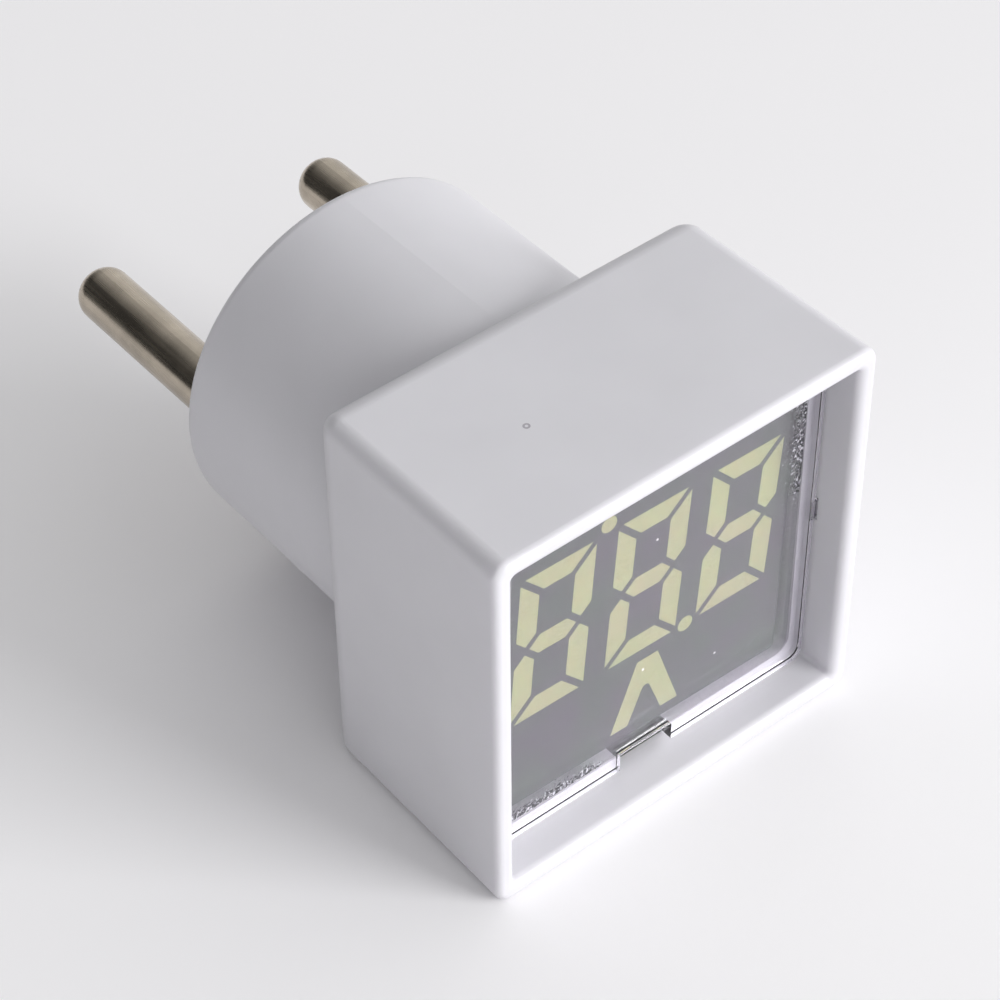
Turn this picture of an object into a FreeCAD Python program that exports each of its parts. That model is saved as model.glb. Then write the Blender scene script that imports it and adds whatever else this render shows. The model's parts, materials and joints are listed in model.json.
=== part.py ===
"""Plug-in mains voltage tester: a square display head on a round two-pin plug body.

Frame: millimetres, +Z up, +Y the way the pins go into the socket, +X to the right
of somebody who reads the display. The origin is the middle of the face that meets
the socket, half way between the two pins.

The sizes run from the inside out. The display and the pins set the room inside the
housing, and the walls are added round that room.
"""
import FreeCAD, Part
import math
import os

V = FreeCAD.Vector

# ---- Display ---------------------------------------------------------------
digit_count = 3
digit_pitch = 7.7         # from one figure to the next
digit_width = 5.95
digit_height = 12.25
digit_slant = 3.1         # degrees that the figures lean to the right
digits_aside = 0.4        # the figures stand this far left of the display's middle
bar_width = 1.57          # width of one lit bar
bar_gap = 0.47            # dark line between two bars
side_margin = 0.925       # beside the outer figures when they stand in the middle
top_margin = 3.35         # above the figures
unit_gap = 1.03           # between the figures and the unit mark
unit_height = 5.55
unit_top = 1.75           # width across the closed end of the unit mark
unit_feet = 5.75          # width across its two feet
unit_stroke = 1.45        # width of one foot
unit_crotch = 3.6         # height of the notch between the feet
unit_crotch_round = 0.35
bottom_margin = 1.02      # below the unit mark
dot_radius = 0.62
dot_outset = 0.7          # how far the upper dot's centre stands above the figures
display_thick = 5.8
display_corner = 0.4
display_chamfer = 0.1
display_shell = 0.45      # wall round the recess at the display's back
display_board_thick = 1.0
resin_back = 0.7          # cast layer that joins all the windows
led_size = 0.3
display_place = (0.3, -0.3)        # the module's middle, right of and below the head's
display_skew = 1.5        # degrees: the module stands a little askew in its holes
header_per_row = 5
header_pitch = 2.0
header_radius = 0.25
header_edge = 2.3         # from the display's edge to a row of pins
header_stub = 1.0         # pin length left beyond the main board
header_clearance = 0.3    # round a header pin in the main board, room for the skew

# ---- Contact pins ----------------------------------------------------------
pin_pitch = 19.0
pin_radius = 2.0
pin_length = 16.2
pin_tip_round = 1.5
root_step = 0.2           # the anchored root is this much thicker in radius than the pin
collar_height = 0.6       # how far the anchoring collar stands out beyond the pin
collar_thick = 1.2
tail_radius = 1.1
tail_length = 3.0
cup_radius = 0.55
cup_depth = 2.0
pin_cover = 1.15          # plastic outside the collar

# ---- Housing ---------------------------------------------------------------
neck_length = 17.2
neck_wall = 1.6
neck_draft = 0.09         # the neck is this much wider in radius at the head
neck_end_round = 0.9
end_wall = 3.5            # holds the contact pins
back_wall = 1.8           # head wall behind the main board
rim_wall = 1.4
ledge_width = 1.3         # step that the window rests on
window_depth = 2.6        # from the rim in to the window's face
opening_corner = 0.3
cavity_corner = 1.2
head_edge_round = 1.15
head_back_round = 2.0
head_rim_round = 0.5
rim_inner_round = 0.6     # where the rim turns in to the opening
head_draft = 0.19         # each side of the head is this much smaller at its back
slot_width = 4.4          # prying slot at the bottom of the window
slot_aside = 0.5          # the slot's middle stands this far left
slot_height = 1.45
slot_depth = 5.0
post_radius = 0.9
post_inset = 1.9          # from the cavity's walls to a post's axis
post_clearance = 0.1
post_head_radius = 1.3    # the post's end, melted flat over the board
post_head_thick = 0.5

# ---- Window ----------------------------------------------------------------
window_gap = 0.35         # between the window's edge and the rim wall
window_corner = 0.8
window_thick = 1.0
window_skew = 0.5         # degrees: the window lies a little askew in its opening
film_thick = 0.15         # tinted film on the window's back
film_clearance = 0.15     # between the film's edge and the cavity wall
film_corner = 1.0
nub_width = 1.6
nub_thick = 0.5
nub_catch = 0.2           # how far a nub reaches into its pocket
nub_clearance = 0.2

# ---- Boards and clearances -------------------------------------------------
display_clearance = 0.8   # display to cavity wall, before it is shifted and turned
display_gap = 0.42        # display to film
board_thick = 1.6
board_clearance = 0.3
board_seat = 0.65         # width of the seat that carries the main board
board_gap = 4.33          # between the display and the main board
hole_clearance = 0.2      # round every lead that goes through a board
lead_radius = 0.3
lead_stub = 0.6           # lead left beyond the board after trimming
solder_spread = 0.3       # a joint's foot stands this far outside its hole
solder_height = 0.5
solder_skin = 0.05        # solder left round a lead at a joint's tip
past = 1.0                # how far a cutting shape runs past the face that it cuts

# ---- Parts on the main board -----------------------------------------------
dropper_size = (10.0, 4.5, 10.0)   # width, thickness, height
dropper_row = 3.4                  # below the upper row of header pins
dropper_leads = 7.5
dropper_round = 0.3
can_radius = 3.15
can_height = 8.5
can_aside = 3.6
can_row = 4.2                      # above the lower row of header pins
can_leads = 2.5
can_round = 0.4
crimp_level = 1.5                  # height of the groove round the can
crimp_radius = 0.4                 # of the groove's section
crimp_outset = 0.1                 # its middle stands outside the can's wall
disc_radius = 3.0
disc_thick = 3.0
disc_round = 0.9
disc_aside = 4.0
disc_row = 4.6
disc_leads = 5.0
surge_radius = 1.15
surge_length = 6.3
surge_place = (0.0, 1.2)
surge_leads = 10.6
surge_round = 0.3
lead_bend = 0.75                   # inside the surge resistor's two bends
body_lift = 0.3                    # air between a leaded body and the board
controller_size = (8.65, 3.9, 1.5)
controller_row = 8.5
controller_leads = 7               # on each side
controller_pitch = 1.27
controller_span = 6.0
bridge_size = (4.7, 3.9, 2.4)
bridge_place = (-8.3, -4.0)
bridge_leads = 2
bridge_pitch = 2.54
bridge_span = 6.8
regulator_size = (4.5, 2.5, 1.5)
regulator_place = (8.3, -1.3)
regulator_leads = 3
regulator_pitch = 1.5
regulator_span = 4.1
zener_size = (4.3, 2.6, 2.2)
zener_aside = 7.8
zener_row = 2.2
zener_tab = (0.5, 1.5, 0.6)
package_chamfer = 0.15
lead_strip = 0.2                   # thickness of a flat lead
lead_strip_width = 0.4
lead_knee = 0.4                    # share of a flat lead's reach that comes before its step
lead_root = 0.2                    # flat lead inside the package
stand_off = 0.1                    # air under a surface-mounted body
resistor_size = (3.2, 1.6, 0.55)
divider_aside = (-5.4, -1.8, 1.8, 5.4)
divider_row = 1.65
discharge_aside = (-9.6, -7.0)
discharge_row = (3.0, 5.0)
chip_capacitor_size = (2.0, 1.25, 0.8)
chip_capacitor_aside = (-1.7, 1.7, 8.9)
chip_capacitor_row = 5.1

# ---- Wires -----------------------------------------------------------------
wire_radius = 0.75
core_radius = 0.4
wire_inset = 0.6          # the board hole is this much nearer the middle than the pin
wire_rise = 1.8           # and this much higher
wire_off_board = 4.2      # run straight off the board
wire_into_cup = 4.0       # run straight up to the cup
wire_strip = 1.2          # bare end outside the board and outside the cup
run_share = 0.45          # share of the shorter run that a wire's bend takes

# ---- What follows from those sizes -----------------------------------------
digits_width = (digit_count - 1) * digit_pitch + digit_width
display_width = digits_width + 2 * side_margin
display_height = top_margin + digit_height + unit_gap + unit_height + bottom_margin
collar_radius = pin_radius + collar_height
neck_radius = pin_pitch / 2 + collar_radius + pin_cover
bore_radius = neck_radius - neck_wall
seat_span = 2 * (bore_radius + board_seat)
cavity_width = max(display_width + 2 * display_clearance, seat_span)
cavity_height = max(display_height + 2 * display_clearance, seat_span)
opening_width = cavity_width + 2 * ledge_width
opening_height = cavity_height + 2 * ledge_width
head_width = opening_width + 2 * rim_wall
head_height = opening_height + 2 * rim_wall
window_width = opening_width - 2 * window_gap
window_height = opening_height - 2 * window_gap
board_width = cavity_width - 2 * board_clearance
board_height = cavity_height - 2 * board_clearance

board_rear = -(neck_length + back_wall)
board_front = board_rear - board_thick
display_back = board_front - board_gap
display_face = display_back - display_thick
film_back = display_face - display_gap
ledge_face = film_back - film_thick
window_face = ledge_face - window_thick
rim_face = window_face - window_depth

digits_middle = display_height / 2 - top_margin - digit_height / 2
unit_top_z = digits_middle - digit_height / 2 - unit_gap
header_z = display_height / 2 - header_edge
upper_row = display_place[1] + header_z
lower_row = display_place[1] - header_z
dropper_place = (0.0, upper_row - dropper_row)
can_place = (-can_aside, lower_row + can_row)
disc_place = (disc_aside, lower_row + disc_row)
controller_place = (0.0, lower_row + controller_row)
zener_place = (zener_aside, lower_row + zener_row)
divider_places = [(x, upper_row - divider_row) for x in divider_aside]
discharge_places = [(x, upper_row - row) for x, row in zip(discharge_aside, discharge_row)]
chip_capacitor_places = [(x, upper_row - chip_capacitor_row) for x in chip_capacitor_aside]
post_x = cavity_width / 2 - post_inset
post_z = cavity_height / 2 - post_inset
wire_x = pin_pitch / 2 - wire_inset


def block(size_x, size_z, y_from, y_to, x=0.0, z=0.0):
    """Box centred on (x, z) that runs from y_from to y_to."""
    corner = V(x - size_x / 2, y_from, z - size_z / 2)
    return Part.makeBox(size_x, y_to - y_from, size_z, corner)


def edges_along_y(shape):
    """The straight edges of a shape that run along Y."""
    found = []
    for edge in shape.Edges:
        step = edge.valueAt(edge.LastParameter) - edge.valueAt(edge.FirstParameter)
        if abs(step.x) < 1e-6 and abs(step.z) < 1e-6 and abs(step.y) > 1e-6:
            found.append(edge)
    return found


def edges_at_y(shape, y):
    """The edges of a shape that lie in the plane at y."""
    found = []
    for edge in shape.Edges:
        box = edge.BoundBox
        if abs(box.YMin - y) < 1e-6 and abs(box.YMax - y) < 1e-6:
            found.append(edge)
    return found


def round_block(size_x, size_z, y_from, y_to, corner):
    """Box centred on the Y axis with its four long edges rounded."""
    plain = block(size_x, size_z, y_from, y_to)
    return plain.makeFillet(corner, edges_along_y(plain))


def rod(radius, y_from, y_to, x=0.0, z=0.0):
    """Cylinder along Y at (x, z)."""
    return Part.makeCylinder(radius, y_to - y_from, V(x, y_from, z), V(0, 1, 0))


def prism(points, y_from, y_to):
    """Outline in X and Z, carried from y_from to y_to."""
    corners = [V(x, y_from, z) for x, z in points]
    outline = Part.makePolygon(corners + [corners[0]])
    return Part.Face(outline).extrude(V(0, y_to - y_from, 0))


def join(shapes):
    """One solid from touching shapes."""
    return shapes[0].multiFuse(shapes[1:]).removeSplitter().Solids[0]


def carve(body, tools):
    """A body that stays one solid when the tools are cut from it."""
    return body.cut(tools).removeSplitter().Solids[0]


def in_display(shape):
    """Put a display piece where the module stands, off the head's middle and askew."""
    placed = shape.copy()
    placed.rotate(V(0, 0, 0), V(0, 1, 0), display_skew)
    placed.translate(V(display_place[0], 0, display_place[1]))
    return placed


def in_opening(shape):
    """Lay the window or its film in the opening, a little askew."""
    laid = shape.copy()
    laid.rotate(V(0, 0, 0), V(0, 1, 0), window_skew)
    return laid


def on_board(shape, front, x, z):
    """Put a part, built upwards from z = 0, on the front or the rear of the main board."""
    placed = shape.copy()
    placed.rotate(V(0, 0, 0), V(1, 0, 0), 90 if front else -90)
    placed.translate(V(x, board_front if front else board_rear, z))
    return placed


# ---- Housing and window ----------------------------------------------------
def head_shell():
    """Outside of the head, a little smaller at its back, with all its edges rounded."""
    rings = []
    for y, inset in ((rim_face, 0.0), (-neck_length, head_draft)):
        half_x = head_width / 2 - inset
        half_z = head_height / 2 - inset
        corners = [V(-half_x, y, -half_z), V(half_x, y, -half_z)]
        corners += [V(half_x, y, half_z), V(-half_x, y, half_z)]
        rings.append(Part.makePolygon(corners + [corners[0]]))
    shell = Part.makeLoft(rings, True, True)
    shell = shell.makeFillet(head_back_round, edges_at_y(shell, -neck_length))
    sides = [edge for edge in shell.Edges if edge.BoundBox.YLength > head_back_round * 1.5]
    shell = shell.makeFillet(head_edge_round, sides)
    return shell.makeFillet(head_rim_round, edges_at_y(shell, rim_face))


def neck_shell():
    """Outside of the round body, from inside the head to the socket face."""
    start = board_rear
    slope = neck_draft / neck_length
    wide = neck_radius - slope * start
    neck = Part.makeCone(wide, neck_radius, -start, V(0, start, 0), V(0, 1, 0))
    return neck.makeFillet(neck_end_round, edges_at_y(neck, 0.0))


def post_spots():
    """The corners of the main board, where the housing's posts go through."""
    return [(x, z) for x in (-post_x, post_x) for z in (-post_z, post_z)]


def nub_spots():
    """The sides, as signs of X, that carry a snap nub."""
    return (-1, 1)


def nub(side, clearance):
    """Snap nub on the window's edge, or its pocket when it has a clearance."""
    reach = window_gap + nub_catch + clearance
    start = window_width / 2 - clearance
    middle = ledge_face - window_thick / 2
    half = nub_thick / 2 + clearance
    x = side * (start + (reach + clearance) / 2)
    return block(reach + clearance, nub_width + 2 * clearance, middle - half, middle + half, x)


def open_head():
    """The head with the opening for the window, its mouth rounded."""
    opening = round_block(opening_width, opening_height, rim_face - past, ledge_face,
                          opening_corner)
    head = carve(head_shell(), [opening])
    mouth = []
    for edge in edges_at_y(head, rim_face):
        box = edge.BoundBox
        if max(abs(box.XMin), abs(box.XMax)) < opening_width / 2 + rim_inner_round / 2:
            if max(abs(box.ZMin), abs(box.ZMax)) < opening_height / 2 + rim_inner_round / 2:
                mouth.append(edge)
    return head.makeFillet(rim_inner_round, mouth)


def make_housing(pins):
    outside = join([open_head(), neck_shell()])
    cavity = round_block(cavity_width, cavity_height, ledge_face - past, board_rear,
                         cavity_corner)
    bore = rod(bore_radius, board_rear - past, -end_wall)
    slot_low = -opening_height / 2
    slot_high = -cavity_height / 2 + past
    slot = block(slot_width, slot_high - slot_low, ledge_face - past, ledge_face + slot_depth,
                 -slot_aside, (slot_low + slot_high) / 2)
    pockets = [nub(side, nub_clearance) for side in nub_spots()]
    housing = carve(outside, [cavity, bore, slot] + pockets)
    top = board_front - post_head_thick
    posts = []
    for x, z in post_spots():
        posts.append(rod(post_radius, top, board_rear + back_wall / 2, x, z))
        posts.append(rod(post_head_radius, top, board_front, x, z))
    return carve(join([housing] + posts), pins)


def window_notch():
    """What the prying slot takes out of the window and its film."""
    top = -window_height / 2 + slot_height
    bottom = -window_height / 2 - past
    return block(slot_width, top - bottom, window_face - past, film_back + past,
                 -slot_aside, (top + bottom) / 2)


def make_window():
    plate = round_block(window_width, window_height, window_face, ledge_face, window_corner)
    nubs = [nub(side, 0.0) for side in nub_spots()]
    return in_opening(carve(join([plate] + nubs), [window_notch()]))


def make_film():
    sheet = round_block(cavity_width - 2 * film_clearance, cavity_height - 2 * film_clearance,
                        ledge_face, film_back, film_corner)
    return in_opening(carve(sheet, [window_notch()]))


# ---- Display ---------------------------------------------------------------
def bar_outlines():
    """The seven bars of one upright figure, round its own middle."""
    side = digit_width / 2
    high = digit_height / 2
    shift = bar_gap / math.sqrt(2)
    inner = side - bar_width
    middle = side - bar_width / 2
    top = [(-side + shift, high), (side - shift, high)]
    top += [(inner - shift, high - bar_width), (-inner + shift, high - bar_width)]
    upper = [(side, high - shift), (side, bar_width / 2 + shift), (middle, shift)]
    upper += [(inner, bar_width / 2 + shift), (inner, high - bar_width - shift)]
    across = [(middle - shift, 0.0), (inner - shift, bar_width / 2)]
    across += [(-inner + shift, bar_width / 2), (-middle + shift, 0.0)]
    across += [(-inner + shift, -bar_width / 2), (inner - shift, -bar_width / 2)]
    outlines = [top, [(x, -z) for x, z in top], across]
    for sign_x in (-1, 1):
        for sign_z in (-1, 1):
            outlines.append([(sign_x * x, sign_z * z) for x, z in upper])
    return outlines


def lean(x, z, middle_x):
    """Place a point of an upright figure in the leaning figure at middle_x."""
    across = middle_x - digits_aside + x + z * math.tan(math.radians(digit_slant))
    return across, digits_middle + z


def digit_middles():
    first = -(digit_count - 1) / 2 * digit_pitch
    return [first + index * digit_pitch for index in range(digit_count)]


def unit_mark(y_from, y_to):
    """Two legs that meet at a flat top."""
    low = unit_top_z - unit_height
    outline = [(-unit_top / 2, unit_top_z), (unit_top / 2, unit_top_z)]
    outline += [(unit_feet / 2, low), (-unit_feet / 2, low)]
    notch_half = unit_feet / 2 - unit_stroke
    spread = notch_half / unit_crotch * past
    notch_outline = [(0.0, low + unit_crotch), (notch_half + spread, low - past)]
    notch_outline.append((-notch_half - spread, low - past))
    notch = prism(notch_outline, y_from - past, y_to + past)
    crest = [edge for edge in edges_along_y(notch) if edge.BoundBox.ZMin > low]
    notch = notch.makeFillet(unit_crotch_round, crest)
    return carve(prism(outline, y_from, y_to), [notch])


def light_windows(y_from, y_to):
    """Every window of the display: the bars, the two dots and the unit mark."""
    windows = []
    for middle_x in digit_middles():
        for outline in bar_outlines():
            leaning = [lean(x, z, middle_x) for x, z in outline]
            windows.append(prism(leaning, y_from, y_to))
    high = digit_height / 2 + dot_outset
    between = digit_pitch / 2
    for side, level in ((-1, high), (1, -digit_height / 2)):
        x, z = lean(side * between, level, 0.0)
        windows.append(rod(dot_radius, y_from, y_to, x, z))
    windows.append(unit_mark(y_from, y_to))
    return windows


def display_recess(y_from, y_to):
    return block(display_width - 2 * display_shell, display_height - 2 * display_shell,
                 y_from, y_to)


def header_spots():
    first = -(header_per_row - 1) / 2 * header_pitch
    return [(first + index * header_pitch, side * header_z)
            for side in (-1, 1) for index in range(header_per_row)]


def make_display():
    """Grey case, cast windows, light chips, carrier board and pins, as five shapes."""
    board_face = display_back - display_board_thick
    resin_face = board_face - resin_back
    case = round_block(display_width, display_height, display_face, display_back, display_corner)
    case = case.makeChamfer(display_chamfer, edges_at_y(case, display_face))
    windows = light_windows(display_face, resin_face)
    case = carve(case, [display_recess(resin_face, display_back + past)] + windows)
    chips = []
    for window in windows:
        middle = window.CenterOfMass
        chips.append(block(led_size, led_size, board_face - led_size, board_face,
                           middle.x, middle.z))
    resin = carve(join([display_recess(resin_face, board_face)] + windows), chips)
    spots = header_spots()
    holes = [rod(header_radius, board_face - past, display_back + past, x, z)
             for x, z in spots]
    board = carve(display_recess(board_face, display_back), holes)
    end = board_rear + header_stub
    pins = [rod(header_radius, board_face, end, x, z) for x, z in spots]
    shapes = (case, resin, Part.makeCompound(chips), board, Part.makeCompound(pins))
    return [in_display(shape) for shape in shapes]


# ---- Main board and its parts ----------------------------------------------
def post_lead(x, y, top):
    """Straight lead from a part's body down through the board."""
    low = -(board_thick + lead_stub)
    return Part.makeCylinder(lead_radius, top - low, V(x, y, low))


def lead_pair(pitch, top):
    return [post_lead(-pitch / 2, 0, top), post_lead(pitch / 2, 0, top)]


def make_dropper():
    width, thick, height = dropper_size
    body = Part.makeBox(width, thick, height, V(-width / 2, -thick / 2, body_lift))
    body = body.makeFillet(dropper_round, body.Edges)
    return join([body] + lead_pair(dropper_leads, body_lift + past))


def make_can_capacitor():
    body = Part.makeCylinder(can_radius, can_height, V(0, 0, body_lift))
    crimp = Part.makeTorus(can_radius + crimp_outset, crimp_radius,
                           V(0, 0, body_lift + crimp_level))
    body = carve(body.makeFillet(can_round, body.Edges), [crimp])
    return join([body] + lead_pair(can_leads, body_lift + past))


def make_disc_varistor():
    middle = V(0, disc_thick / 2, body_lift + disc_radius)
    body = Part.makeCylinder(disc_radius, disc_thick, middle, V(0, -1, 0))
    rims = [edge for edge in body.Edges if edge.Closed]
    body = body.makeFillet(disc_round, rims)
    return join([body] + lead_pair(disc_leads, body_lift + disc_radius))


def make_surge_resistor():
    """Round body that lies along the board, on two leads bent down through it."""
    level = body_lift + surge_radius
    body = Part.makeCylinder(surge_radius, surge_length, V(-surge_length / 2, 0, level),
                             V(1, 0, 0))
    body = body.makeFillet(surge_round, body.Edges)
    leads = []
    low = -(board_thick + lead_stub)
    for side in (-1, 1):
        end_x = side * surge_leads / 2
        turn = V(end_x - side * lead_bend, 0, level - lead_bend)
        inner = side * (surge_length / 2 - lead_radius)
        flat = Part.makeCylinder(lead_radius, abs(turn.x - inner), V(inner, 0, level),
                                 V(side, 0, 0))
        disc = Part.Face(Part.Wire(Part.makeCircle(lead_radius, V(end_x, 0, turn.z))))
        elbow = disc.revolve(turn, V(0, -side, 0), 90)
        down = Part.makeCylinder(lead_radius, turn.z - low, V(end_x, 0, low))
        leads += [flat, elbow, down]
    return join([body] + leads)


def gull_lead(side, x, start, span, height):
    """Flat lead that leaves a body at its side, steps down and lies on the board."""
    width = lead_strip_width
    knee = start + (span / 2 - start) * lead_knee
    pieces = [(start - lead_root, knee, height / 2, height / 2 + lead_strip)]
    pieces.append((knee - lead_strip, knee, 0.0, height / 2 + lead_strip))
    pieces.append((knee - lead_strip, span / 2, 0.0, lead_strip))
    shapes = []
    for y_from, y_to, z_from, z_to in pieces:
        low = min(side * y_from, side * y_to)
        shapes.append(Part.makeBox(width, y_to - y_from, z_to - z_from,
                                   V(x - width / 2, low, z_from)))
    return shapes


def make_outline_package(size, per_side, pitch, span):
    """Moulded body with flat leads along its two long sides."""
    length, width, height = size
    body = Part.makeBox(length, width, height - stand_off, V(-length / 2, -width / 2, stand_off))
    body = body.makeChamfer(package_chamfer, body.Edges)
    pieces = [body]
    first = -(per_side - 1) / 2 * pitch
    for index in range(per_side):
        for side in (-1, 1):
            pieces += gull_lead(side, first + index * pitch, width / 2, span, height)
    return join(pieces)


def make_zener():
    length, width, height = zener_size
    tab_length, tab_width, tab_height = zener_tab
    body = Part.makeBox(length, width, height - stand_off, V(-length / 2, -width / 2, stand_off))
    body = body.makeChamfer(package_chamfer, body.Edges)
    pieces = [body]
    for side in (-1, 1):
        middle = side * length / 2
        corner = V(middle - tab_length, -tab_width / 2, 0)
        pieces.append(Part.makeBox(2 * tab_length, tab_width, tab_height, corner))
    return join(pieces)


def chips_on_board(size, places, upright):
    """A group of like surface-mounted chips on the board's front."""
    length, width, height = size
    if upright:
        length, width = width, length
    chip = Part.makeBox(length, width, height, V(-length / 2, -width / 2, 0))
    return Part.makeCompound([on_board(chip, True, x, z) for x, z in places])


def lead_spots():
    """Where leads and wires go through the main board."""
    spots = []
    for place, pitch in ((dropper_place, dropper_leads), (can_place, can_leads),
                         (disc_place, disc_leads), (surge_place, surge_leads)):
        spots.append((place[0] - pitch / 2, place[1]))
        spots.append((place[0] + pitch / 2, place[1]))
    return spots


def header_holes():
    """Where the main board is drilled for the display's pins: square to the board."""
    return [(display_place[0] + x, display_place[1] + z) for x, z in header_spots()]


def header_ends():
    """Where the pins of the askew display really stand, in the same order."""
    turn = math.radians(display_skew)
    return [(display_place[0] + x * math.cos(turn) + z * math.sin(turn),
             display_place[1] - x * math.sin(turn) + z * math.cos(turn))
            for x, z in header_spots()]


def make_main_board():
    plate = round_block(board_width, board_height, board_front, board_rear, cavity_corner)
    low = board_front - past
    high = board_rear + past
    cuts = [rod(lead_radius + hole_clearance, low, high, x, z) for x, z in lead_spots()]
    cuts += [rod(header_radius + header_clearance, low, high, x, z)
             for x, z in header_holes()]
    cuts += [rod(core_radius + hole_clearance, low, high, x, wire_rise)
             for x in (-wire_x, wire_x)]
    cuts += [rod(post_radius + post_clearance, low, high, x, z) for x, z in post_spots()]
    return carve(plate, cuts)


def solder_joint(radius, clearance, hole, lead, front):
    """Solder that fills a hole and climbs a lead on one face of the main board."""
    fill = rod(radius + clearance, board_front, board_rear, *hole)
    face = board_front if front else board_rear
    outward = V(0, -1 if front else 1, 0)
    foot = radius + clearance + solder_spread
    cone = Part.makeCone(foot, radius + solder_skin, solder_height,
                         V(lead[0], face, lead[1]), outward)
    return join([fill, cone])


def make_solder(header, wires):
    """Every joint on the main board and in the two cups, as one group."""
    joints = []
    for x, z in lead_spots():
        lead = rod(lead_radius, board_front - past, board_rear + past, x, z)
        joint = solder_joint(lead_radius, hole_clearance, (x, z), (x, z), True)
        joints.append(carve(joint, [lead]))
    for hole, end in zip(header_holes(), header_ends()):
        joint = solder_joint(header_radius, header_clearance, hole, end, False)
        joints.append(carve(joint, [header]))
    for side, wire in zip((-1, 1), wires):
        spot = (side * wire_x, wire_rise)
        joint = solder_joint(core_radius, hole_clearance, spot, spot, True)
        joints.append(carve(joint, [wire]))
        tail_end = -end_wall - tail_length
        fill = rod(cup_radius, tail_end, tail_end + cup_depth, side * pin_pitch / 2)
        joints.append(carve(fill, [wire]))
    return Part.makeCompound(joints)


# ---- Contact pins and wires ------------------------------------------------
def make_pin(side):
    """Turned pin: bare round end, collar inside the end wall, tail with a solder cup."""
    x = side * pin_pitch / 2
    collar_from = -(end_wall + collar_thick) / 2
    collar_to = collar_from + collar_thick
    shank = rod(pin_radius, 0.0, pin_length, x)
    shank = shank.makeFillet(pin_tip_round, edges_at_y(shank, pin_length))
    collar = rod(collar_radius, collar_from, collar_to, x)
    root = rod(pin_radius + root_step, -end_wall, 0.0, x)
    tail = rod(tail_radius, -end_wall - tail_length, -end_wall, x)
    cup = rod(cup_radius, -end_wall - tail_length - past,
              -end_wall - tail_length + cup_depth, x)
    return carve(join([shank, collar, root, tail]), [cup])


def route(points, bare_start, bare_end):
    """Straight runs joined by the largest arcs that the runs allow.

    The first run starts bare_start late and the last one stops bare_end early.
    """
    edges = []
    first_run = points[1] - points[0]
    here = points[0] + first_run.normalize() * bare_start
    for before, corner, after in zip(points, points[1:], points[2:]):
        arriving = corner - before
        leaving = after - corner
        turn = arriving.getAngle(leaving)
        shorter = min(arriving.Length, leaving.Length)
        cut_back = run_share * shorter
        radius = cut_back / math.tan(turn / 2)
        print("wire arc radius", round(radius, 2), "turn", round(math.degrees(turn), 1))
        arc_from = corner - arriving.normalize() * cut_back
        arc_to = corner + leaving.normalize() * cut_back
        inward = (arc_from + arc_to) * 0.5 - corner
        centre_distance = radius / math.cos(turn / 2)
        centre = corner + inward.normalize() * centre_distance
        crown = centre + (corner - centre).normalize() * radius
        edges.append(Part.makeLine(here, arc_from))
        edges.append(Part.Arc(arc_from, crown, arc_to).toShape())
        here = arc_to
    last_run = points[-1] - points[-2]
    edges.append(Part.makeLine(here, points[-1] - last_run.normalize() * bare_end))
    return Part.Wire(edges)


def tube(points, radius, bare_start=0.0, bare_end=0.0):
    """Round tube along a route."""
    path = route(points, bare_start, bare_end)
    start = path.Vertexes[0].Point
    ring = Part.Wire(Part.makeCircle(radius, start, points[1] - points[0]))
    solid = path.makePipeShell([ring], True, False)
    wanted = math.pi * radius ** 2 * path.Length
    print("tube volume over section times length", round(solid.Volume / wanted, 4))
    return solid


def make_wire(side):
    """Insulated wire from the main board to a pin's solder cup."""
    start = V(side * wire_x, board_front - lead_stub, wire_rise)
    first = V(side * wire_x, board_rear + wire_off_board, wire_rise)
    tail_end = -end_wall - tail_length
    second = V(side * pin_pitch / 2, tail_end - wire_into_cup, 0)
    end = V(side * pin_pitch / 2, tail_end + cup_depth, 0)
    points = [start, first, second, end]
    core = tube(points, core_radius)
    cover = tube(points, wire_radius, lead_stub + board_thick + wire_strip,
                 cup_depth + wire_strip)
    return join([core, cover])


def main():
    os.makedirs("parts", exist_ok=True)
    pin_left = make_pin(-1)
    pin_right = make_pin(1)
    case, resin, chips, display_board, header = make_display()
    wires = [make_wire(-1), make_wire(1)]
    nodes = {"housing": make_housing([pin_left, pin_right]),
             "window": make_window(),
             "filter_film": make_film(),
             "display_case": case,
             "display_resin": resin,
             "led_chips": chips,
             "display_board": display_board,
             "display_pins": header,
             "main_board": make_main_board(),
             "dropper_capacitor": on_board(make_dropper(), False, *dropper_place),
             "smoothing_capacitor": on_board(make_can_capacitor(), False, *can_place),
             "varistor": on_board(make_disc_varistor(), False, *disc_place),
             "surge_resistor": on_board(make_surge_resistor(), False, *surge_place),
             "divider_resistors": chips_on_board(resistor_size, divider_places, False),
             "discharge_resistors": chips_on_board(resistor_size, discharge_places, True),
             "chip_capacitors": chips_on_board(chip_capacitor_size, chip_capacitor_places, False),
             "zener_diode": on_board(make_zener(), True, *zener_place),
             "neutral_wire": wires[0],
             "live_wire": wires[1],
             "solder_joints": make_solder(header, wires),
             "pin_left": pin_left,
             "pin_right": pin_right}
    packages = (("microcontroller", controller_size, controller_leads, controller_pitch,
                 controller_span, controller_place),
                ("rectifier_bridge", bridge_size, bridge_leads, bridge_pitch,
                 bridge_span, bridge_place),
                ("voltage_regulator", regulator_size, regulator_leads, regulator_pitch,
                 regulator_span, regulator_place))
    for name, size, per_side, pitch, span, place in packages:
        nodes[name] = on_board(make_outline_package(size, per_side, pitch, span), True, *place)
    for name, shape in nodes.items():
        shape.exportStep("parts/" + name + ".step")
        print(name, "solids", len(shape.Solids), "valid", shape.isValid(),
              "volume", round(shape.Volume, 2))


main()
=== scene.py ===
import json
import math

import bpy
from bpy.props import FloatProperty, FloatVectorProperty, PointerProperty
from mathutils import Matrix, Vector

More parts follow.
